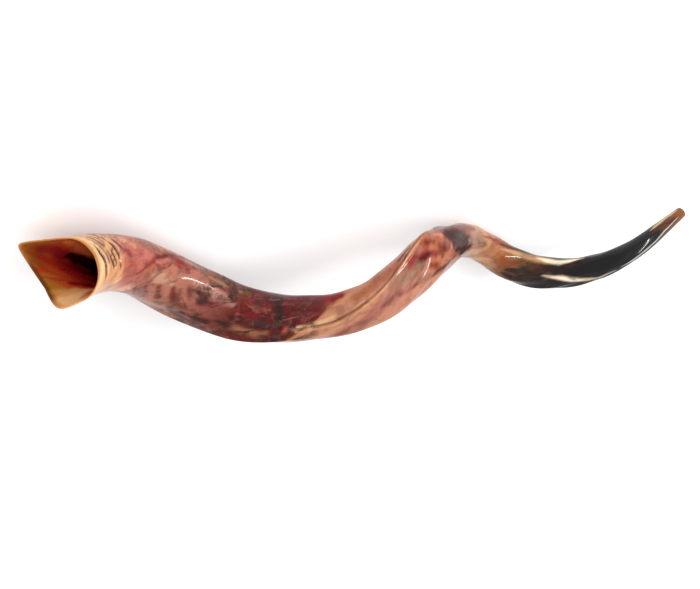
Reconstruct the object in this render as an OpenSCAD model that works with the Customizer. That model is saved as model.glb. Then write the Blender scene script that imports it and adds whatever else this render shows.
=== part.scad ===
// Long twisted animal-horn trumpet: an open bell, one hollow tube winding
// twice round its axis with a keel along it, and a straight turned mouthpiece.
// Lengths in mm. +X runs from the bell to the mouthpiece, +Z is up.
// The horn lies on z = 0 as it comes to rest on a table.

/* [Lengths] */
// Straight length of the twisted body, bell to mouthpiece
body_l = 750; // [600:10:900]
// Straight length of the flaring bell
bell_l = 110; // [90:5:130]
// Straight length of the shoulder behind the bell
shoulder_l = 120; // [100:5:140]
// Straight length of the belly, the lowest bend
belly_l = 170; // [140:5:200]
// Straight length of the crook, the tight bend
crook_l = 160; // [130:5:190]
// Length of the straight mouthpiece
mouth_l = 50; // [35:1:70]

/* [Coil] */
// Radius of the centreline's coil at the bell
coil_bell = 54; // [45:1:66]
// Radius of the coil halfway along
coil_middle = 32; // [24:1:42]
// Radius of the coil at the tip
coil_tip = 24; // [16:1:32]

/* [Tube] */
// Tube diameter at the bell rim, without its keel
bell_d = 61; // [50:1:75]
// Tube diameter at the shoulder
shoulder_d = 56; // [46:1:68]
// Tube diameter at the start of the belly
belly_d = 53; // [44:1:64]
// Tube diameter at the end of the belly
waist_d = 47; // [39:1:57]
// Tube diameter before the tight bend
crook_d = 48; // [40:1:58]
// Tube diameter after the tight bend
neck_d = 37; // [31:1:45]
// Tube diameter of the dark stem
stem_d = 37; // [31:1:45]
// Tube diameter where the stem tapers
taper_d = 25; // [22:1:30]
// Diameter that the taper aims at
point_d = 14; // [12:0.5:17]
// Outer diameter of the mouthpiece's end
lip_d = 14; // [13:0.5:18]

/* [Wall and bore] */
// Wall thickness at the bell rim
wall_bell = 4; // [3:0.5:5]
// Wall thickness at the stem
wall_stem = 6; // [5:0.5:7]
// Distance from the rim at which the wide hollow starts to close
hollow_l = 560; // [480:10:600]
// Length over which the hollow closes down to the bore
closing_l = 90; // [60:5:110]
// Diameter of the drilled bore
bore_d = 5; // [4:0.5:6]
// Diameter of the mouthpiece's cup
cup_d = 11; // [9:0.5:12]
// Depth of the mouthpiece's cup
cup_deep = 9; // [6:0.5:12]

/* [Keel and rim] */
// Half width of the keel's corner at the bell, degrees
keel_bell = 62; // [44:1:66]
// Half width of the keel's corner along the body, degrees
keel_body = 36; // [0:1:42]
// How far the keel's corner is rounded, degrees
keel_round = 3; // [2:1:14]
// Half width of the rim's second, lower corner, degrees
heel = 46; // [0:1:50]
// How far the second corner is rounded, degrees
heel_round = 13; // [6:1:24]
// Sideways slope of the rim's plane, rise per unit
rim_slope = 0.45; // [0:0.05:0.6]
// Length over which the rim's slope dies out
rim_l = 80; // [60:5:85]

/* [Hidden] */
seg = 36;          // sides of the tube
ring_gap = 10;     // about one ring per 10 mm
rest_turn = -8.6;    // where the coil starts, seen along the axis from +Y
rest_tilt = 3.8;   // how far the axis dips towards the mouthpiece
heel_at = 95;      // from the keel round to the rim's second corner

// One row every step along the body. The last row lies half a step past
// its end and only steers the curve.
// turn of the coil, tube diameter, keel, keel's lead on the coil, depth to width
step = body_l / 7.5;
rows = [
    [  0, bell_d,     keel_bell,        86, 1.12],
    [ 65, shoulder_d, keel_body,        88, 1.10],
    [140, belly_d,    keel_body,        78, 1.09],
    [210, waist_d,    keel_body,        70, 1.08],
    [310, crook_d,    keel_body * 0.95, 55, 1.07],
    [415, neck_d,     keel_body * 0.75, 45, 1.05],
    [535, stem_d,     keel_body * 0.50, 45, 1.02],
    [630, taper_d,    0,                45, 1.00],
    [735, point_d,    0,                45, 1.00]
];
last = len(rows) - 1;

// Smooth curve through one column of the rows
function row(c, i) =
    i < 0 ? 2 * rows[0][c] - rows[1][c] :
    i > last ? 2 * rows[last][c] - rows[last - 1][c] : rows[i][c];
function at(c, x) =
    let (t = max(0, min(last - 0.001, x / step)), i = floor(t), f = t - i,
         a = row(c, i - 1), b = row(c, i), d = row(c, i + 1), e = row(c, i + 2))
    b + f * ((d - a) + f * ((2*a - 5*b + 4*d - e) + f * (3*b - a - 3*d + e))) / 2;

function coil(x) =
    let (u = x / (last * step))
    coil_bell * (1 - u) * (1 - 2*u) + coil_middle * 4*u * (1 - u) + coil_tip * u * (2*u - 1);

// The centreline and its own three directions
function angle(x) = rest_turn - at(0, x);
function axis(x) = [x, coil(x) * cos(angle(x)), coil(x) * sin(angle(x))];
function unit(v) = v / norm(v);
function heading(x) = unit(axis(x + 0.5) - axis(max(0, x - 0.5)));
function outward(x) =
    let (r = [0, cos(angle(x)), sin(angle(x))], t = heading(x)) unit(r - (r * t) * t);
function across(x) = cross(outward(x), heading(x));

// The cross-section is a circle with a straight-sided, rounded corner at the
// keel, and near the rim a second one at the heel
function gap(a, b) = abs((a - b + 540) % 360 - 180);
function corner(half_width, q, place, blunt) =
    1 / cos(max(0, half_width - norm([gap(q, place), blunt])));
function reach(x, q) =
    max(corner(at(2, x), q, 0, keel_round),
        corner(heel * max(0, 1 - x / step), q, heel_at, heel_round));

function hollow(x) =
    let (wall = wall_bell + (wall_stem - wall_bell) * min(1, x / hollow_l),
         wide = at(1, x) / 2 - wall,
         s = max(0, min(1, (x - hollow_l) / closing_l)), f = s * s * (3 - 2*s))
    wide * (1 - f) + bore_d / 2 * f;

function ring(x, r) =
    let (p = axis(x), n = outward(x), b = across(x), t = heading(x), lead = at(3, x),
         keel_way = n * cos(lead) + b * sin(lead), side_way = b * cos(lead) - n * sin(lead),
         deep = 1 + (at(4, x) - 1) * min(1, r / 10), slope = rim_slope * max(0, 1 - x / rim_l))
    [for (j = [0 : seg - 1])
        let (q = 360 * j / seg, rho = r * reach(x, q), k = deep * rho * cos(q), s = rho * sin(q))
        p + k * keel_way + s * side_way - slope * s * t];

// A length of the horn between two stations: outer and inner wall and both ends
function stops(x0, x1) =
    let (n = ceil((x1 - x0) / ring_gap)) [for (i = [0 : n]) x0 + (x1 - x0) * i / n];
function flat(lists) = [for (l = lists) for (v = l) v];

module length_of_horn(x0, x1) {
    xs = stops(x0, x1);
    n = len(xs) - 1;
    inside = (n + 1) * seg;
    points = concat(flat([for (x = xs) ring(x, at(1, x) / 2)]),
                    flat([for (x = xs) ring(x, hollow(x))]));
    faces = flat([for (j = [0 : seg - 1])
        let (j1 = (j + 1) % seg, end = n * seg)
        concat(
            flat([for (i = [0 : n - 1])
                let (a = i * seg + j, b = i * seg + j1, c = b + seg, d = a + seg)
                [[a, b, c], [a, c, d],
                 [inside + a, inside + c, inside + b], [inside + a, inside + d, inside + c]]]),
            [[j, inside + j1, j1], [j, inside + j, inside + j1],
             [end + j, end + j1, inside + end + j1], [end + j, inside + end + j1, inside + end + j]])]);
    in_place() polyhedron(points = points, faces = faces, convexity = 10);
}

// The box round the whole horn as it lies puts the origin under its middle
function laid(p) =
    [p.x * cos(rest_tilt) + p.z * sin(rest_tilt), p.y, p.z * cos(rest_tilt) - p.x * sin(rest_tilt)];
bell_end = bell_l;
shoulder_end = bell_end + shoulder_l;
belly_end = shoulder_end + belly_l;
crook_end = belly_end + crook_l;
body_stops = concat(stops(0, bell_end), stops(bell_end, shoulder_end), stops(shoulder_end, belly_end),
                    stops(belly_end, crook_end), stops(crook_end, body_l));
skin = flat([for (x = body_stops) [for (p = ring(x, at(1, x) / 2)) laid(p)]]);
tip = laid(axis(body_l) + mouth_l * heading(body_l));
tip_way = laid(heading(body_l));
tip_out = [for (i = [0 : 2]) lip_d / 2 * sqrt(1 - pow(tip_way[i], 2))];
low = [for (i = [0 : 2]) min(min([for (p = skin) p[i]]), tip[i] - tip_out[i])];
high = [for (i = [0 : 2]) max(max([for (p = skin) p[i]]), tip[i] + tip_out[i])];

module in_place() {
    translate([-(low.x + high.x) / 2, -(low.y + high.y) / 2, -low.z])
        rotate([0, rest_tilt, 0]) children();
}

module bell() {
    color("burlywood") length_of_horn(0, bell_end);
}

module shoulder() {
    color("rosybrown") length_of_horn(bell_end, shoulder_end);
}

module belly() {
    color("indianred") length_of_horn(shoulder_end, belly_end);
}

module crook() {
    color("peru") length_of_horn(belly_end, crook_end);
}

module stem() {
    color("dimgray") length_of_horn(crook_end, body_l);
}

// Turned round: a taper, a rounded lip, a cup and the drilled bore
module mouthpiece() {
    base_r = at(1, body_l) / 2;
    lip = (lip_d - cup_d) / 4;
    lip_mid = (lip_d + cup_d) / 4;
    n = outward(body_l);
    t = heading(body_l);
    o = cross(t, n);
    p = axis(body_l);
    profile = concat(
        [[bore_d / 2, 0], [base_r, 0]],
        [for (a = [0 : 30 : 180]) [lip_mid + lip * cos(a), mouth_l - lip + lip * sin(a)]],
        [for (f = [0.25, 0.5, 0.75, 1])
            [bore_d / 2 + (cup_d - bore_d) / 2 * sqrt(1 - f * f), mouth_l - lip - (cup_deep - lip) * f]]);
    color("sienna")
        in_place()
            multmatrix([[n.x, o.x, t.x, p.x], [n.y, o.y, t.y, p.y], [n.z, o.z, t.z, p.z], [0, 0, 0, 1]])
                rotate_extrude() polygon(profile);
}

bell();
shoulder();
belly();
crook();
stem();
mouthpiece();
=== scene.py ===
import math

import bpy
import numpy as np
from mathutils import Matrix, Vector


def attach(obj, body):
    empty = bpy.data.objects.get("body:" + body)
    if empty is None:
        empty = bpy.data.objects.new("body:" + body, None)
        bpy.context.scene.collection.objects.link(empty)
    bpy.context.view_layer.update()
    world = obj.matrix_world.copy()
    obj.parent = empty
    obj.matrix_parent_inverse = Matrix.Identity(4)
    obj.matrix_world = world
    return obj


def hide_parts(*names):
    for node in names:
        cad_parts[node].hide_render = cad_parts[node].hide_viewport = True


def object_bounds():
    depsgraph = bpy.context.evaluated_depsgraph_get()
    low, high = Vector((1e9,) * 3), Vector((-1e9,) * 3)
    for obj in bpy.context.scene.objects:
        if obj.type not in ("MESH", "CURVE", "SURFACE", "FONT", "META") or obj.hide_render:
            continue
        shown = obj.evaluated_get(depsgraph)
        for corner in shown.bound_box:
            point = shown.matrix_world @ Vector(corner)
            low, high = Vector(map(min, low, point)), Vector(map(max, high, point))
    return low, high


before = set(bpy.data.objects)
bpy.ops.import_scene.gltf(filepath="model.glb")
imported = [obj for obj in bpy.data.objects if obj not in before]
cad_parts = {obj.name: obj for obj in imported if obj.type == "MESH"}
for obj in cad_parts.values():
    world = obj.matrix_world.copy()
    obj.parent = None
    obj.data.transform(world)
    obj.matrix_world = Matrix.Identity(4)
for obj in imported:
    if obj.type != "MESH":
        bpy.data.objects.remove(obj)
cad_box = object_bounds()

# ---------------------------------------------------------------- the horn's shape
# The same stations as the CAD source, in millimetres until the mesh is made.
STEP, BODY, MOUTH = 100.0, 750.0, 50.0
TURN = [0, 65, 140, 210, 310, 415, 535, 630, 735]
DIAMETER = [61, 56, 53, 47, 48, 37, 37, 25, 14]
KEEL = [62, 36, 36, 36, 34.2, 27, 18, 0, 0]
LEAD = [86, 88, 78, 70, 55, 45, 45, 45, 45]
DEPTH = [1.12, 1.10, 1.09, 1.08, 1.07, 1.05, 1.02, 1, 1]
COIL = (54, 32, 24)
WALL_BELL, WALL_STEM = 4.0, 6.0
HOLLOW, CLOSING = 560.0, 90.0
BORE_R, LIP_R, CUP_R, CUP_DEEP = 2.5, 7.0, 5.5, 9.0
KEEL_ROUND, HEEL, HEEL_ROUND, HEEL_AT = 3, 46, 13, 95
RIM_SLOPE, RIM_L = 0.45, 80.0
REST_TURN, REST_TILT = -8.6, 3.8


def along(table, x):
    """A smooth curve through one value per station."""
    v = np.array(table, float)
    v = np.concatenate([[2 * v[0] - v[1]], v, [2 * v[-1] - v[-2]]])
    t = np.clip(np.asarray(x, float) / STEP, 0, len(table) - 1.001)
    i = np.floor(t).astype(int)
    f = t - i
    a, b, c, d = v[i], v[i + 1], v[i + 2], v[i + 3]
    return b + f * ((c - a) + f * ((2 * a - 5 * b + 4 * c - d) + f * (3 * b - a - 3 * c + d))) / 2


def centre(x):
    """The winding centreline."""
    u = x / (STEP * (len(TURN) - 1))
    r = COIL[0] * (1 - u) * (1 - 2 * u) + COIL[1] * 4 * u * (1 - u) + COIL[2] * u * (2 * u - 1)
    a = np.radians(REST_TURN - along(TURN, x))
    return np.stack([x + 0 * a, r * np.cos(a), r * np.sin(a)], -1)


def unit(v):
    return v / np.linalg.norm(v, axis=-1, keepdims=True)


def directions(x):
    """Towards the keel, sideways from it, and along the horn, at each x."""
    t = unit(centre(x + 0.5) - centre(np.maximum(0, x - 0.5)))
    a = np.radians(REST_TURN - along(TURN, x))
    r = np.stack([0 * a, np.cos(a), np.sin(a)], -1)
    n = unit(r - (r * t).sum(-1, keepdims=True) * t)
    b = np.cross(n, t)
    lead = np.radians(along(LEAD, x))[:, None]
    return n * np.cos(lead) + b * np.sin(lead), b * np.cos(lead) - n * np.sin(lead), t


def turned(a, b):
    """Degrees from b round to a, between -180 and 180."""
    return (a - b + 540) % 360 - 180


def corner(half_width, q, place, blunt):
    off = np.hypot(turned(q, place), blunt)
    return 1 / np.cos(np.radians(np.maximum(0, half_width - off)))


def reach(x, q):
    """How far the wall stands out at q degrees from the keel, as a share of the radius."""
    heel = HEEL * np.maximum(0, 1 - x / STEP)
    return np.maximum(corner(along(KEEL, x), q, 0, KEEL_ROUND), corner(heel, q, HEEL_AT, HEEL_ROUND))


def smooth(a, b, x):
    """Rises softly from 0 at a to 1 at b, or falls where a is the larger."""
    t = np.clip((x - a) / (b - a), 0, 1)
    return t * t * (3 - 2 * t)


def bump(value, place, width):
    return np.exp(-((value - place) / width) ** 2)


def hollow(x):
    """The inner radius, which closes down to the bore."""
    wall = WALL_BELL + (WALL_STEM - WALL_BELL) * np.minimum(1, x / HOLLOW)
    f = smooth(HOLLOW, HOLLOW + CLOSING, x)
    return (along(DIAMETER, x) / 2 - wall) * (1 - f) + BORE_R * f


# ---------------------------------------------------------------- rings
# One closed skin: along the outside, round the mouthpiece's lip, down the cup, back
# through the bore and the hollow, and over the rounded rim to the first ring again.
SIDES = 160
CROWDING = 0.085   # how much the sides crowd together at the keel
FINE_TO = 125      # the rings are 1 mm apart up to here
OUTSIDE, LIP, RIM, CUP, LINING = 0.0, 0.3, 0.5, 0.6, 1.0


def ring_rows():
    """For each ring: place along the body, radius, push along the axis there, how far inside it is."""
    places = np.concatenate([np.arange(0, FINE_TO, 1.0), np.arange(FINE_TO, BODY, 2.6)])
    rings = [(a, along(DIAMETER, a) / 2, 0.0, OUTSIDE) for a in places]
    base = along(DIAMETER, BODY) / 2
    lip, middle = (LIP_R - CUP_R) / 2, (LIP_R + CUP_R) / 2
    for s in np.linspace(0, MOUTH - lip, 20):
        rings.append((BODY, base + (LIP_R - base) * s / (MOUTH - lip), s, OUTSIDE))
    for a in np.radians(np.arange(15, 181, 15)):
        rings.append((BODY, middle + lip * math.cos(a), MOUTH - lip + lip * math.sin(a), LIP))
    for f in np.linspace(0.1, 1, 8):
        across = BORE_R + (CUP_R - BORE_R) * math.sqrt(max(0, 1 - f * f))
        rings.append((BODY, across, MOUTH - lip - (CUP_DEEP - lip) * f, CUP))
    for s in np.linspace(MOUTH - CUP_DEEP - 4, 0, 8):
        rings.append((BODY, BORE_R, s, LINING))
    places = [np.arange(BODY - 8, 200, -8.0), np.arange(200, 60, -4.0), np.arange(60, 3, -1.5)]
    rings += [(a, hollow(a), 0.0, LINING) for a in np.concatenate(places)]
    out_r, in_r = along(DIAMETER, 0.0) / 2, hollow(0.0)
    for a in np.radians(np.linspace(180, 0, 11)[:-1]):
        rings.append((0.0, (out_r + in_r) / 2 + (out_r - in_r) / 2 * math.cos(a), -1.6 * math.sin(a), RIM))
    return np.array(rings, float)


rings = ring_rows()
count = len(rings)
x, r, push, inside = (rings[:, i:i + 1] for i in range(4))
share = np.arange(SIDES) / SIDES
q = (360 * share - 360 * CROWDING * np.sin(2 * np.pi * share))[None, :]   # degrees round from the keel
dist = x + np.maximum(push, 0)                                      # mm from the rim
outer = (inside < 0.25).astype(float)
arc = math.pi / 180 * along(DIAMETER, dist) / 2                     # mm for one degree round


def off(place):
    """Degrees between each point and a place round the horn."""
    return np.abs(turned(q, place))


def clouds(seed, size):
    """Soft clouds about size mm across and half as long again, between about -1 and 1."""
    g = np.random.default_rng(seed)
    out = np.zeros((count, SIDES))
    for _ in range(10):
        fx = g.uniform(0.2, 1) / (1.6 * size)
        fq = g.integers(1, max(2, round(160 / size)) + 1) * g.choice([-1, 1])
        out += np.sin(2 * np.pi * fx * dist + g.uniform(0, 6.28) + fq * np.radians(q))
    return out / 4


rough_edge = 0.5 * clouds(21, 30) + 0.4 * clouds(22, 12) + 0.35 * clouds(23, 6)


def streak(width, *path):
    """A soft mark through (mm along, degrees round) points, width mm to each side.

    The width is one number, or one for each point.
    """
    best = np.full((count, SIDES), 1e9)
    widths = np.broadcast_to(width, len(path))
    for leg, ((x0, q0), (x1, q1)) in enumerate(zip(path, path[1:])):
        dx, dq = dist - x0, turned(q, q0) * arc
        ex, eq = x1 - x0, turned(q1, q0) * along(DIAMETER, (x0 + x1) / 2) * math.pi / 360
        u = np.clip((dx * ex + dq * eq) / (ex * ex + eq * eq), 0, 1)
        wide = widths[leg] + (widths[leg + 1] - widths[leg]) * u
        best = np.minimum(best, np.hypot(dx - u * ex, dq - u * eq) / wide)
    return np.exp(-best ** 2)


def either(*masks):
    return np.maximum.reduce(masks)


# ---------------------------------------------------------------- raised and sunken detail, in mm
# Growth rings crowd together behind the lip on the side away from the keel:
# the place, half width and depth of each groove
GROOVES = [(-1.6, 1.4, 1.0), (5.0, 1.2, 0.45), (9.0, 1.4, 0.6), (14.0, 1.3, 0.4), (20.5, 1.3, 0.85),
           (28.5, 1.5, 0.35)]
ring_side = smooth(0, 1, 1 - off(225) / 85)
ring_place = dist - 0.16 * np.clip(250 - q, -30, 90) + 0.8 * clouds(3, 16)
grooves = sum(depth * bump(ring_place, place, wide) for place, wide, depth in GROOVES) * ring_side
ridges = sum(depth * bump(ring_place, place + 2.6, 1.6) for place, _, depth in GROOVES) * ring_side

# Six short ribs across the shoulder: half width, then where each starts and ends
RIBS = [(2.2, (74, 102), (86, 72)), (2.4, (86, 106), (98, 74)), (3.6, (103, 104), (115, 70)),
        (3.6, (121, 102), (133, 68)), (3.2, (139, 110), (147, 84)), (2.4, (158, 112), (164, 88))]
ribs = either(*[streak(*rib) for rib in RIBS])

# The keel's thin line between two grooves, and a short ridge beside it
KEEL_PATH = [(262, 14), (300, 4), (345, 0), (385, 357), (412, 352)]
keel_line = streak((0.6, 0.9, 1.0, 1.0, 0.5), *KEEL_PATH)
keel_groove = either(streak(0.9, *[(a, b + 6) for a, b in KEEL_PATH]),
                     0.3 * streak(0.7, *[(a, b - 6) for a, b in KEEL_PATH[1:]]))
side_ridge = streak((0.6, 1.0, 0.8, 0.4), (276, 28), (300, 18), (335, 13), (352, 10))

# Low lumps all over, and the knuckle's shoulder and flattened top
lumps = clouds(11, 34) * smooth(20, 120, dist) * (1 - smooth(640, 740, dist))
knuckle = 1.2 * streak(13, (404, 4), (414, 358)) - 3.6 * streak(15, (440, 4), (452, 352), (464, 336))
lift = (-1.0 * grooves + 0.5 * ridges - 0.5 * ribs + 0.8 * keel_line - 0.8 * keel_groove
        + 0.5 * side_ridge + 0.8 * lumps + knuckle) * outer

# The lip is rolled in broadly on the side away from the keel, and thinned elsewhere
LIP_MIDDLE = 235
lip_side = smooth(0, 1, 1.15 - off(LIP_MIDDLE) / 70)
near_rim = (inside > 0.4) * (dist < 40)
lip_zone = near_rim * (1 - smooth(1, 12, dist)) * lip_side
inwards = np.clip((along(DIAMETER, 0.0) / 2 - r) / WALL_BELL, 0, 1)
thinned = near_rim * (1 - smooth(4, 30, dist)) * (1 - lip_side)
lift = lift - 1.6 * lip_zone * inwards + 2.4 * thinned * inwards


# ---------------------------------------------------------------- the mesh


def horn_points(radius):
    """Every ring's points in mm, in the coil's own directions."""
    to_keel, to_side, t = directions(x[:, 0])
    deep = 1 + (along(DEPTH, x) - 1) * np.minimum(1, r / 10)
    straight_part = (x >= BODY) & (push > 0)
    rho = radius * np.where(straight_part, 1.0, reach(x, q))
    k = deep * rho * np.cos(np.radians(q))
    s = rho * np.sin(np.radians(q))
    slope = RIM_SLOPE * np.maximum(0, 1 - x / RIM_L)
    return (centre(x[:, 0])[:, None] + k[..., None] * to_keel[:, None] + s[..., None] * to_side[:, None]
            + (push - slope * s)[..., None] * t[:, None])


def laid(p):
    """Tilted as the horn rests, and moved onto the CAD's box, in metres."""
    c, s = math.cos(math.radians(REST_TILT)), math.sin(math.radians(REST_TILT))
    p = np.stack([p[..., 0] * c + p[..., 2] * s, p[..., 1], p[..., 2] * c - p[..., 0] * s], -1)
    low, high = p.reshape(-1, 3).min(0), p.reshape(-1, 3).max(0)
    return (p - (low + high) / 2) / 1000 + np.mean(cad_box, axis=0)


def closed_mesh(name, points):
    """A smooth mesh whose rings and sides both run round to the first again."""
    i, j = np.arange(count)[:, None], np.arange(SIDES)[None, :]
    i1, j1 = (i + 1) % count, (j + 1) % SIDES
    faces = np.stack([i * SIDES + j, i * SIDES + j1, i1 * SIDES + j1, i1 * SIDES + j], -1).reshape(-1, 4)
    made = bpy.data.meshes.new(name)
    made.from_pydata(points.reshape(-1, 3).tolist(), [], faces.tolist())
    made.update()
    made.polygons.foreach_set("use_smooth", [True] * len(made.polygons))
    return made


mesh = closed_mesh("horn", laid(horn_points(r + lift)))
horn = bpy.data.objects.new("horn", mesh)
bpy.context.scene.collection.objects.link(horn)

# ---------------------------------------------------------------- colours
COLOURS = {
    "ivory": (238, 228, 204), "parchment": (212, 190, 168), "painted_reflection_grey": (196, 196, 192),
    "cream": (226, 192, 150), "straw": (206, 176, 136), "gold": (222, 172, 124),
    "caramel": (196, 156, 118), "biscuit": (206, 162, 126), "peach": (224, 168, 128),
    "blush": (212, 170, 152), "salmon": (214, 146, 124), "sand": (200, 164, 140),
    "fawn": (176, 136, 112), "tan": (196, 140, 112), "honey": (164, 116, 88),
    "ochre": (182, 130, 62), "orange": (168, 92, 54), "amber": (164, 92, 60),
    "copper": (156, 84, 50), "rust": (134, 62, 34), "pink": (188, 112, 100),
    "rose": (164, 104, 96), "lilac": (150, 118, 112), "mauve": (150, 96, 92),
    "heather": (130, 80, 76), "plum": (124, 50, 56), "cherry": (150, 40, 44),
    "garnet": (146, 44, 46), "poppy": (150, 48, 46), "ruby": (140, 36, 42),
    "red": (146, 44, 38), "crimson": (134, 22, 32), "wine": (98, 20, 34),
    "umber": (118, 56, 46), "sepia": (110, 56, 46), "liver": (86, 38, 30),
    "brown": (84, 42, 28), "painted_shade_brown": (62, 18, 14), "walnut": (112, 70, 48),
    "khaki": (120, 84, 52), "olive": (104, 80, 50), "moss": (128, 108, 88),
    "green": (56, 50, 32), "grey": (150, 128, 110), "scuff": (140, 110, 94),
    "ash": (90, 74, 64), "smoke": (60, 48, 40), "soot": (48, 26, 26),
    "char": (60, 30, 26), "black": (20, 14, 12), "end_grain": (136, 88, 60),
    # inside the bell
    "milk": (240, 196, 146), "lip_edge": (232, 196, 150), "lip_face": (216, 150, 94),
    "lip_roll": (212, 140, 86), "butter": (214, 160, 100), "painted_light_apricot": (255, 156, 100),
    "tea": (150, 84, 50), "brick": (206, 60, 56), "raspberry": (196, 56, 66),
    "grape": (150, 48, 66), "mahogany": (110, 46, 44), "ink": (44, 26, 34)}

# The ground colour from the rim (0 mm) to the mouthpiece's end (800 mm)
OUTSIDE_RAMP = [
    (0, (224, 168, 128)), (14, (214, 166, 124)), (34, (196, 132, 104)), (50, (178, 104, 88)),
    (80, (178, 110, 92)), (120, (176, 120, 100)), (150, (164, 106, 92)), (180, (128, 70, 62)),
    (215, (108, 44, 38)), (240, (100, 36, 32)), (280, (112, 34, 40)), (300, (150, 80, 68)),
    (325, (192, 136, 112)), (365, (194, 140, 118)), (400, (188, 130, 108)), (428, (168, 106, 84)),
    (445, (112, 66, 58)), (480, (172, 132, 112)), (510, (184, 132, 98)), (545, (150, 98, 66)),
    (575, (92, 68, 46)), (600, (58, 46, 36)), (630, (26, 21, 17)), (735, (16, 14, 12)),
    (746, (84, 66, 44)), (772, (104, 74, 48)), (790, (128, 84, 56)), (800, (134, 88, 60))]
# The lining's colour from the rim inwards; its fall to near-black from 58 mm on is painted shade of the deep
# hollow.
INSIDE_RAMP = [
    (0, (204, 142, 86)), (5, (192, 122, 70)), (14, (204, 104, 64)), (26, (204, 84, 62)),
    (40, (186, 62, 56)), (58, (130, 44, 46)), (84, (30, 14, 16)), (800, (10, 7, 6))]


def srgb(r8, g8, b8):
    v = np.array([r8, g8, b8]) / 255
    return np.where(v <= 0.04045, v / 12.92, ((v + 0.055) / 1.055) ** 2.4)


def ramp(keys, at):
    places = [place for place, _ in keys]
    shades = np.array([srgb(*rgb) for _, rgb in keys])
    return np.stack([np.interp(at, places, shades[:, channel]) for channel in range(3)], -1)


skin = ramp(OUTSIDE_RAMP, dist + 5 * rough_edge)
lining = ramp(INSIDE_RAMP, dist + 3 * rough_edge)


def paint(tone, name, mask, rag=0.4, hi=1.0, strength=1.0):
    """Lays a colour over a tone where the mask is high, its edge made ragged by the clouds."""
    ragged = mask * (1 + rag * rough_edge) + 0.3 * rag * rough_edge * (mask > 0.08)
    m = strength * smooth(0.1, hi, ragged)[..., None]
    tone[...] = tone * (1 - m) + srgb(*COLOURS[name]) * m


def mark(name, width, *path, **how):
    paint(skin, name, streak(width, *path), **how)


def mark_inside(name, width, *path, **how):
    paint(lining, name, streak(width, *path), **how)


def paint_bell():
    """Behind the lip: cream to olive, fading to peach towards the keel's far side."""
    paint(skin, "cream", (1 - smooth(0, 6, dist)) * smooth(150, 60, off(215)))
    paint(skin, "olive", streak(5, (8, 240), (18, 196)) * ring_side, strength=0.55, hi=0.9)
    mark("peach", 6, (16, 204), (30, 170), (36, 146))
    mark("peach", 10, (10, 120), (40, 110), (62, 96), strength=0.8)


def paint_shoulder():
    """Pink with crimson flecks and one long feathered crimson streak."""
    mark("pink", 12, (44, 210), (62, 176))
    mark("cherry", (2, 4.5, 2), (38, 208), (43, 200), (48, 188), hi=1.1, strength=0.8)
    mark("red", 6, (52, 216), (62, 188), strength=0.5)
    mark("garnet", (1.5, 3.5, 5.5, 4, 2), (62, 142), (78, 160), (90, 170), (108, 175), (132, 178),
         strength=0.85, hi=1.1)
    mark("wine", 2.8, (88, 170), (108, 174), (128, 180), hi=0.9)
    mark("pink", 4, (88, 158), (104, 154))
    mark("sand", (3, 7, 4), (80, 140), (98, 124), (116, 110), strength=0.55, hi=1.1)
    mark("moss", (3, 6, 6, 4), (84, 216), (120, 204), (150, 188), (176, 168), strength=0.8)
    mark("peach", 5, (44, 232), (58, 206), strength=0.6)
    mark("red", 5, (106, 172), (120, 162))
    mark("poppy", (2, 5, 3), (112, 156), (124, 153), (140, 152), strength=0.7, hi=1.2)
    mark("black", 1.6, (138, 158), (141, 155), rag=0.1)
    paint(skin, "umber", ribs, hi=1.1, strength=0.85)


def paint_belly():
    """Dusty mauve broken by maroon, brown and olive, then a dark band and a maroon wedge."""
    mark("olive", 6, (150, 154), (175, 140), (206, 124), strength=0.7)
    mark("fawn", (3, 6, 3), (160, 146), (180, 134), (200, 122), strength=0.6, hi=1.1)
    mark("blush", (4, 7, 8, 3), (144, 122), (160, 114), (178, 102), (194, 86), strength=0.65, hi=1.2)
    mark("mauve", 6, (176, 96), (196, 84), strength=0.5)
    mark("wine", 4, (158, 82), (176, 82), strength=0.8)
    mark("brown", 2.4, (152, 104), (156, 98))
    low_edge = streak(6, (126, 48), (144, 38), (160, 24), (178, 12))
    paint(skin, "liver", low_edge * (0.7 + 0.6 * clouds(31, 9)), rag=0.8, strength=0.8)
    mark("brown", 4, (150, 44), (176, 38), hi=0.9)
    mark("sepia", 5, (130, 84), (146, 62), hi=1.2, strength=0.7)
    mark("black", 1.7, (188, 102), (194, 94), rag=0.2)
    mark("green", (2, 4.5, 3), (184, 46), (194, 40), (204, 30), hi=1.1, strength=0.8)
    mark("olive", 4, (198, 134), (210, 120), hi=0.9)
    mark("red", 6, (200, 72), (224, 62), (232, 84), strength=0.35)
    mark("brown", 4.5, (204, 56), (226, 46), strength=0.9, hi=0.9)
    mark("honey", 5, (204, 30), (232, 16), strength=0.75)
    mark("soot", (5, 7.5, 6.5, 3), (244, 124), (243, 96), (243, 60), (248, 28), strength=0.85)
    mark("wine", 9, (262, 92), (290, 78), strength=0.8)
    mark("crimson", 4, (292, 90), (304, 70), strength=0.9)
    mark("red", 3, (247, 6), (252, 30), (258, 56), strength=0.75)
    mark("pink", 2.5, (252, 20), (254, 30))


def paint_wedge_end():
    """The maroon wedge ends on a slant, and tan begins beyond it."""
    from_keel = turned(q, 0)
    slant = dist - 0.95 * np.clip(from_keel, -10, 90)
    past = smooth(246, 258, slant + 5 * rough_edge)
    past = past * smooth(-60, -10, from_keel) * (1 - smooth(84, 130, from_keel))
    paint(skin, "tan", past * (1 - smooth(330, 360, dist)), rag=0.1)
    paint(skin, "ochre", bump(slant + 4 * rough_edge, 254, 4) * smooth(84, 40, off(30)), strength=0.6)
    mark("cream", 3, (262, 22), (282, 18), (300, 20), strength=0.8)
    mark("crimson", 4, (296, 84), (314, 72))


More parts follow.
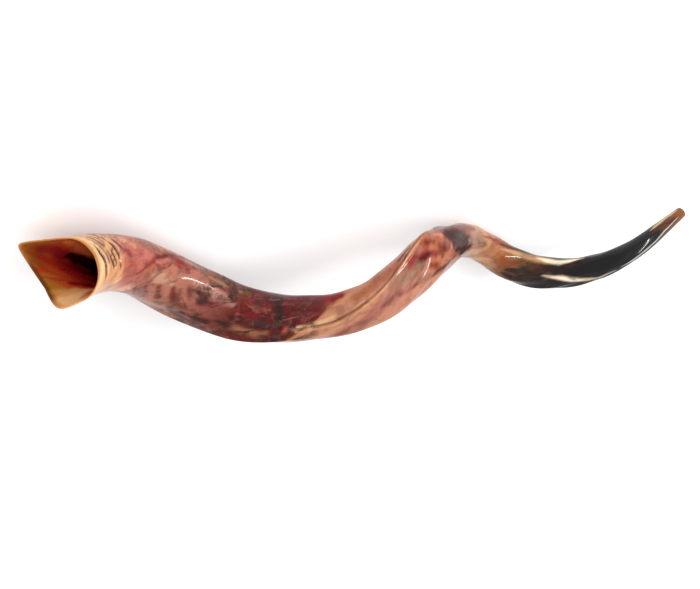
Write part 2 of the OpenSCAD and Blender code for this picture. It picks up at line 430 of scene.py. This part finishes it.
def paint_crook():
    """Tan with a thin painted shade line above the keel, mauve below, then the amber knuckle with its crimson
    heart and painted shade over its top.
    """
    mark("orange", 7, (326, 42), (356, 22), (376, 16), strength=0.6)
    # Painted shade: a thin dark-red line just above the keel ridge.
    mark("wine", 2.2, (380, 18), (398, 11))
    mark("rose", (5, 9, 7), (318, 332), (340, 330), (360, 326), strength=0.75, hi=1.1)
    mark("plum", (2, 5, 4, 2), (344, 330), (356, 324), (366, 312), (378, 300), strength=0.55, hi=1.2)
    mark("grey", 6, (366, 340), (378, 330), strength=0.6)
    mark("amber", (7, 9, 9), (408, 344), (414, 328), (417, 296), strength=0.9)
    mark("amber", 6, (400, 294), (403, 276), strength=0.7)
    mark("rust", 3.4, (410, 338), (415, 324))
    mark("rust", 3.4, (417, 304), (421, 288))
    mark("rust", 3.6, (396, 300), (402, 282))
    mark("ruby", 6.5, (384, 350), (394, 330), (406, 308), strength=0.8)
    mark("wine", 3, (392, 330), (404, 314))
    mark("grey", 3.5, (388, 332), (392, 308), strength=0.7)
    mark("char", (0.8, 2.4, 2.8, 1.5), (386, 282), (398, 268), (408, 258), (420, 248), strength=0.85, rag=0.7)
    mark("salmon", (1.2, 2.2, 2.2, 1.2), (422, 336), (428, 318), (430, 280), (428, 248),
         rag=0.1, strength=0.75)
    # Painted shade: near-black over the knuckle's top, where the tube turns away beyond the bend.
    painted_shade_top = either(streak(10, (440, 290), (452, 250), (460, 222)), streak(6, (436, 262), (448, 222)))
    paint(skin, "painted_shade_brown", painted_shade_top, hi=0.6, rag=0.25, strength=0.93)
    mark("heather", (4, 6, 6, 3), (444, 312), (456, 294), (468, 274), (482, 252), strength=0.85)
    mark("scuff", (3, 6, 6, 3), (464, 232), (478, 214), (490, 198), (504, 182), strength=0.85)


def paint_stem():
    """Amber with cream, then near-black with two ivory flames and a painted reflection streak."""
    mark("rust", (1, 3.5, 4, 1.5), (500, 212), (514, 204), (536, 192), (556, 184), strength=0.85)
    mark("biscuit", (3, 6, 5), (496, 144), (516, 114), (538, 86), strength=0.7)
    mark("copper", (2, 7, 7, 3), (530, 150), (544, 128), (550, 104), (566, 84), strength=0.75, hi=1.1)
    mark("black", (0.8, 2.4, 2.4, 1.6), (532, 186), (556, 174), (590, 160), (624, 148), rag=0.2, strength=0.9)
    shaded = either(streak((3, 9, 9, 5), (556, 88), (574, 72), (594, 54), (614, 40)),
                    streak((3, 8, 8), (556, 62), (574, 46), (592, 28)))
    paint(skin, "green", shaded, strength=0.95, hi=0.8)
    mark("black", (2, 8, 8, 5), (562, 34), (582, 22), (604, 10), (634, 346), strength=0.9)
    mark("smoke", (3, 7, 5), (588, 92), (608, 74), (626, 62), strength=0.6, hi=1.2)
    mark("caramel", (1.5, 4, 5.5, 5, 3, 0.8), (534, 166), (560, 156), (582, 138), (600, 122), (624, 104),
         (646, 94), rag=0.15, strength=0.9)
    mark("ivory", (0.5, 3.2, 4.6, 2.6, 0.5), (586, 136), (602, 120), (616, 106), (628, 100), (640, 96),
         rag=0.15, strength=0.95, hi=1.1)
    mark("ash", (2, 5, 2), (620, 84), (632, 76), (646, 70), strength=0.5, hi=1.3)
    mark("lilac", (0.6, 1.8, 0.6), (640, 108), (656, 92), (674, 74), rag=0.1, strength=0.35, hi=1.2)
    mark("parchment", (0.8, 3.2, 3.6, 3, 1.6, 0.6), (596, 68), (614, 46), (630, 18), (644, 352), (660, 328),
         (676, 314), rag=0.15, strength=0.85)
    mark("ivory", (0.4, 2.6, 2.4, 0.5), (604, 58), (616, 42), (628, 20), (640, 358), rag=0.15, strength=0.95)
    mark("black", (0.3, 1.0, 0.4), (622, 40), (629, 22), (632, 12), rag=0.1, strength=0.8)
    # Painted reflection: a pale grey streak along the dark tip's lower side.
    mark("painted_reflection_grey", (0.4, 1.3, 1.5, 1.2, 0.8, 0.4), (682, 318), (700, 307), (716, 298), (734, 288), (758, 288),
         (784, 300), rag=0.1, strength=0.85)


def paint_mouthpiece():
    mark("straw", (0.6, 2.6, 2.6, 1.5), (736, 8), (752, 4), (772, 8), (792, 6), strength=0.8)
    mark("brown", (1, 2.6, 2.6, 1), (734, 346), (750, 334), (766, 318), (784, 306), strength=0.75)


def paint_lines():
    """The keel's line and grooves, and the growth rings."""
    paint(skin, "gold", either(keel_line, 0.8 * side_ridge), rag=0.25, strength=0.7)
    paint(skin, "walnut", keel_groove, rag=0.5, strength=0.7)
    paint(skin, "cream", np.clip(ridges * 1.2, 0, 1), rag=0.2, strength=0.45)
    broken = 0.8 + 0.35 * clouds(5, 8)
    paint(skin, "brown", np.clip(grooves * 1.2, 0, 1) * broken, strength=0.95, hi=0.55)
    hatching = ring_side * bump(ring_place, 13, 12) * smooth(0.1, 0.9, clouds(6, 5))
    paint(skin, "khaki", hatching, strength=0.8)


def paint_inside():
    """Cream below, then red and maroon, painted shade darkening to black at the throat, with an amber lip and
    a painted-light orange band just inside it.
    """
    mark_inside("ochre", (5, 8, 5), (0, 44), (8, 62), (16, 74), strength=0.85)
    mark_inside("milk", (4, 8, 9, 9), (38, 88), (24, 85), (9, 93), (0, 126), strength=0.9, hi=0.8)
    mark_inside("butter", (3, 5, 3), (2, 66), (12, 74), (28, 80), strength=0.7)
    mark_inside("orange", 5, (9, 354), (11, 14), strength=0.5)
    veins = either(streak((1, 3, 1), (2, 8), (12, 24), (24, 36)),
                   streak((1, 2.5, 1), (4, 34), (14, 42), (26, 46)))
    paint(lining, "tea", veins, strength=0.5)
    flecks = either(streak((1, 3, 1), (3, 20), (6, 22), (14, 24)),
                    streak((1, 3, 1), (12, 6), (20, 10), (30, 14)))
    paint(lining, "brick", flecks, strength=0.6)
    mark_inside("grape", 6, (14, 352), (32, 350), strength=0.75)
    mark_inside("raspberry", (2, 5, 3), (26, 18), (38, 20), (54, 26), strength=0.8)
    # Painted light: this orange band inside the lip is brighter than its own colour, to look lit.
    mark_inside("painted_light_apricot", (4, 8, 8, 4), (8, 318), (32, 325), (50, 328), (68, 336), strength=0.85)
    mark_inside("ink", (3, 6, 7), (36, 349), (50, 350), (66, 348), strength=0.92, hi=0.8)
    mark_inside("mahogany", (3, 6, 6), (24, 54), (34, 62), (50, 66), strength=0.8, hi=1.2)
    paint(lining, "lip_roll", lip_zone * 1.2, rag=0.15)
    on_rim = inside < 0.75
    lip_face = on_rim * smooth(0, 1, 1.3 - off(LIP_MIDDLE) / 80)
    paint(lining, "lip_face", lip_face, rag=0.1, hi=0.6)
    paint(lining, "lip_edge", lip_face * smooth(0.55, 0.2, inwards), rag=0.1, hi=0.5)
    paint(lining, "brown", on_rim * smooth(0, 1, 1.2 - off(45) / 60), strength=0.75)


for paint_part in (paint_bell, paint_shoulder, paint_belly, paint_wedge_end, paint_crook, paint_stem,
                   paint_mouthpiece, paint_lines, paint_inside):
    paint_part()

tone = np.where(outer[..., None] > 0, skin, lining)
# The mouthpiece's end colour, darkened the deeper it goes into the cup and bore, to black in the bore:
# painted shade.
mouth_end = ((inside > 0.25) & (dist > 780))[..., None]
tone = np.where(mouth_end, srgb(*COLOURS["end_grain"]) * (1 - inside[..., None]), tone)

# How strongly the material's own marbling shows: most on the belly and on the far side
busy = 0.35 + 0.65 * smooth(120, 165, dist) * (1 - smooth(262, 300, dist))
busy = (busy + 0.3 * bump(dist, 100, 30) + 0.25 * bump(dist, 420, 30)) * (1 - smooth(596, 625, dist))
busy = busy * outer * smooth(0, 30, dist)
# The middle of the marked side, in degrees from the keel, at places along the horn
MARKED_SIDE = [(0, 150), (60, 160), (110, 110), (180, 75), (240, 70), (300, 45), (350, 0), (400, -40),
               (440, -80), (480, -165), (540, -230), (600, -270), (640, -300), (670, -345), (720, -370),
               (800, -395)]
marked = np.interp(dist, *zip(*MARKED_SIDE))
far_side = smooth(75, 115, off(marked % 360)) * outer
busy = busy + 0.45 * far_side * (1 - smooth(596, 640, dist))

# The horn unrolled along its axis, so that the grain follows it
grain_r = along(DIAMETER, dist) / 2 * (1 - 0.3 * inside)
straight = np.stack([dist + 0 * q, grain_r * np.cos(np.radians(q)), grain_r * np.sin(np.radians(q))], -1)


def attribute(name, values):
    vector = values.ndim == 3
    a = mesh.attributes.new(name, "FLOAT_VECTOR" if vector else "FLOAT", "POINT")
    a.data.foreach_set("vector" if vector else "value", np.ascontiguousarray(values, np.float32).reshape(-1))


# The tone is deepened a little to make up for the polish's veil
attribute("tone", np.clip(0.89 * tone ** 1.13 - 0.014, 0.003, 1))
attribute("busy", np.clip(busy, 0, 1))
attribute("straight", straight / 1000)

# ---------------------------------------------------------------- material
mat = bpy.data.materials.new("polished_horn")
mat.use_nodes = True
nodes, links = mat.node_tree.nodes, mat.node_tree.links
nodes.clear()


def node(kind, **props):
    n = nodes.new(kind)
    for key, value in props.items():
        setattr(n, key, value)
    return n


def plug(value, socket):
    if isinstance(value, bpy.types.NodeSocket):
        links.new(value, socket)
    else:
        socket.default_value = value


def read(name, output):
    return node("ShaderNodeAttribute", attribute_name=name, attribute_type="GEOMETRY").outputs[output]


def sums(op, a, b, c=0.0):
    n = node("ShaderNodeMath", operation=op)
    for value, socket in zip((a, b, c), n.inputs):
        plug(value, socket)
    return n.outputs[0]


def scaled(vector, *scale):
    n = node("ShaderNodeMapping")
    links.new(vector, n.inputs["Vector"])
    n.inputs["Scale"].default_value = scale
    return n.outputs[0]


def noise(vector, scale, detail, rough, distort=0.0):
    n = node("ShaderNodeTexNoise")
    links.new(vector, n.inputs["Vector"])
    for key, value in (("Scale", scale), ("Detail", detail), ("Roughness", rough), ("Distortion", distort)):
        n.inputs[key].default_value = value
    return n.outputs["Fac"]


def eased(value, lo, hi, to_lo, to_hi):
    n = node("ShaderNodeMapRange", interpolation_type="SMOOTHSTEP")
    links.new(value, n.inputs["Value"])
    for key, v in (("From Min", lo), ("From Max", hi), ("To Min", to_lo), ("To Max", to_hi)):
        n.inputs[key].default_value = v
    return n.outputs[0]


def mix(a, b, factor, how="MIX"):
    n = node("ShaderNodeMix", data_type="RGBA", blend_type=how)
    plug(factor, n.inputs[0])
    plug(a, n.inputs[6])
    plug(b, n.inputs[7])
    return n.outputs[2]


grain = read("straight", "Vector")
marbling = read("busy", "Fac")
cloud = noise(scaled(grain, 0.7, 1.0, 1.0), 75.0, 5.0, 0.62, 0.8)
cloud_b = noise(scaled(grain, 0.6, 1.1, 1.1), 130.0, 5.0, 0.62, 0.5)
cloud_c = noise(scaled(grain, 0.8, 0.9, 0.9), 105.0, 4.0, 0.6, 0.9)
fibre = noise(scaled(grain, 0.07, 1.0, 1.0), 900.0, 3.0, 0.6)
grit = noise(grain, 700.0, 3.0, 0.6)


def mottle(under, rgb, texture, lo, hi, amount):
    """Patches of a colour where the texture passes from lo to hi."""
    patch = sums("MULTIPLY", eased(texture, lo, hi, 0.0, amount), marbling)
    return mix(under, (*srgb(*rgb).tolist(), 1.0), patch)


base = read("tone", "Vector")
base = mottle(base, (48, 12, 12), cloud, 0.46, 0.62, 0.92)
base = mottle(base, (176, 118, 104), cloud_b, 0.52, 0.72, 0.3)
base = mottle(base, (86, 62, 44), cloud_c, 0.54, 0.68, 0.65)
base = mottle(base, (124, 24, 26), cloud_b, 0.42, 0.3, 0.4)
base = mix(base, (0.6, 0.52, 0.48, 1), eased(fibre, 0.4, 0.8, 0.0, 0.35), "MULTIPLY")

shade = node("ShaderNodeBsdfPrincipled")
links.new(base, shade.inputs["Base Color"])
links.new(eased(grit, 0.3, 0.8, 0.2, 0.34), shade.inputs["Roughness"])
for key, value in (("IOR", 1.55), ("Specular IOR Level", 0.05), ("Coat Weight", 0.28),
                   ("Coat Roughness", 0.06)):
    shade.inputs[key].default_value = value

relief = node("ShaderNodeBump")
relief.inputs["Strength"].default_value = 0.16
relief.inputs["Distance"].default_value = 0.002
links.new(sums("MULTIPLY_ADD", cloud, 0.5, sums("MULTIPLY", fibre, 0.12)), relief.inputs["Height"])
links.new(relief.outputs[0], shade.inputs["Normal"])
links.new(shade.outputs[0], node("ShaderNodeOutputMaterial").inputs["Surface"])
mesh.materials.append(mat)

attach(horn, "root")
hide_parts("bell", "shoulder", "belly", "crook", "stem", "mouthpiece")

# ---------------------------------------------------------------- floor and room light
FLOOR_SIZE = 14
FLOOR_GREY = (0.93, 0.93, 0.93, 1)
ROOM_LIGHT = 1.1

bpy.ops.mesh.primitive_plane_add(size=FLOOR_SIZE, location=(0, 0, 0))
floor = bpy.context.object
floor.name = "floor"
floor_mat = bpy.data.materials.new("pale_floor")
floor_mat.use_nodes = True
floor_mat.node_tree.nodes["Principled BSDF"].inputs["Base Color"].default_value = FLOOR_GREY
floor_mat.node_tree.nodes["Principled BSDF"].inputs["Roughness"].default_value = 0.8
floor.data.materials.append(floor_mat)

world = bpy.data.worlds.new("studio")
bpy.context.scene.world = world
world.use_nodes = True
world.node_tree.nodes["Background"].inputs["Color"].default_value = (1, 1, 1, 1)
world.node_tree.nodes["Background"].inputs["Strength"].default_value = ROOM_LIGHT

# ---------------------------------------------------------------- camera
AZIMUTH, ELEVATION, ROLL = -140.8, 44.1, 145.2
AIM_RIGHT, AIM_UP, AIM_HEIGHT = -0.0474, -0.0268, 0.06
CAMERA_DISTANCE = 1.881
SENSOR = 36
LENS = SENSOR * 17 / 7


def to_axes(azimuth, elevation, roll):
    """Right, up and back of a rolled camera, as vectors of the row frame."""
    a, e, turn = (math.radians(v) for v in (azimuth, elevation, roll))
    back = np.array([math.sin(a) * math.cos(e), -math.cos(a) * math.cos(e), math.sin(e)])
    right = np.array([math.cos(a), math.sin(a), 0.0])
    up = np.cross(back, right)
    return right * math.cos(turn) + up * math.sin(turn), up * math.cos(turn) - right * math.sin(turn), back


def place(obj, position, axes):
    m = np.eye(4)
    m[:3, 0], m[:3, 1], m[:3, 2] = axes
    m[:3, 3] = position
    bpy.context.scene.collection.objects.link(obj)
    obj.matrix_world = Matrix(m.tolist())


right, up, back = to_axes(AZIMUTH, ELEVATION, ROLL)
target = np.array([0, 0, AIM_HEIGHT]) + right * AIM_RIGHT + up * AIM_UP
cam_data = bpy.data.cameras.new("camera")
cam_data.sensor_width = SENSOR
cam_data.lens = LENS
cam = bpy.data.objects.new("camera", cam_data)
place(cam, target + back * CAMERA_DISTANCE, (right, up, back))
bpy.context.scene.camera = cam

# ---------------------------------------------------------------- lamps
LAMP_DISTANCE = 2.0
LAMP_AIM = np.array([0, 0, 0.05])


def softbox(name, direction, width, height, power, tall):
    """A rectangular lamp in a direction from the horn, its height along the vector tall."""
    data = bpy.data.lights.new(name, "AREA")
    data.shape = "RECTANGLE"
    data.size, data.size_y, data.energy = width, height, power
    z = unit(direction)
    across = unit(np.cross(tall, z))
    place(bpy.data.objects.new(name, data), LAMP_AIM + z * LAMP_DISTANCE, (across, np.cross(z, across), z))


softbox("key", back + 0.3 * up - 0.2 * right, 1.6, 1.2, 3.5, np.array([0, 0, 1.0]))
softbox("top", np.array([0.1, -0.1, 1.0]), 1.6, 1.2, 3.5, np.array([0, 1.0, 0]))
softbox("strip", 0.93 * right + 0.16 * up + 0.28 * back, 0.08, 1.7, 32, up + 0.2 * back)

bpy.context.scene.view_settings.view_transform = "Standard"
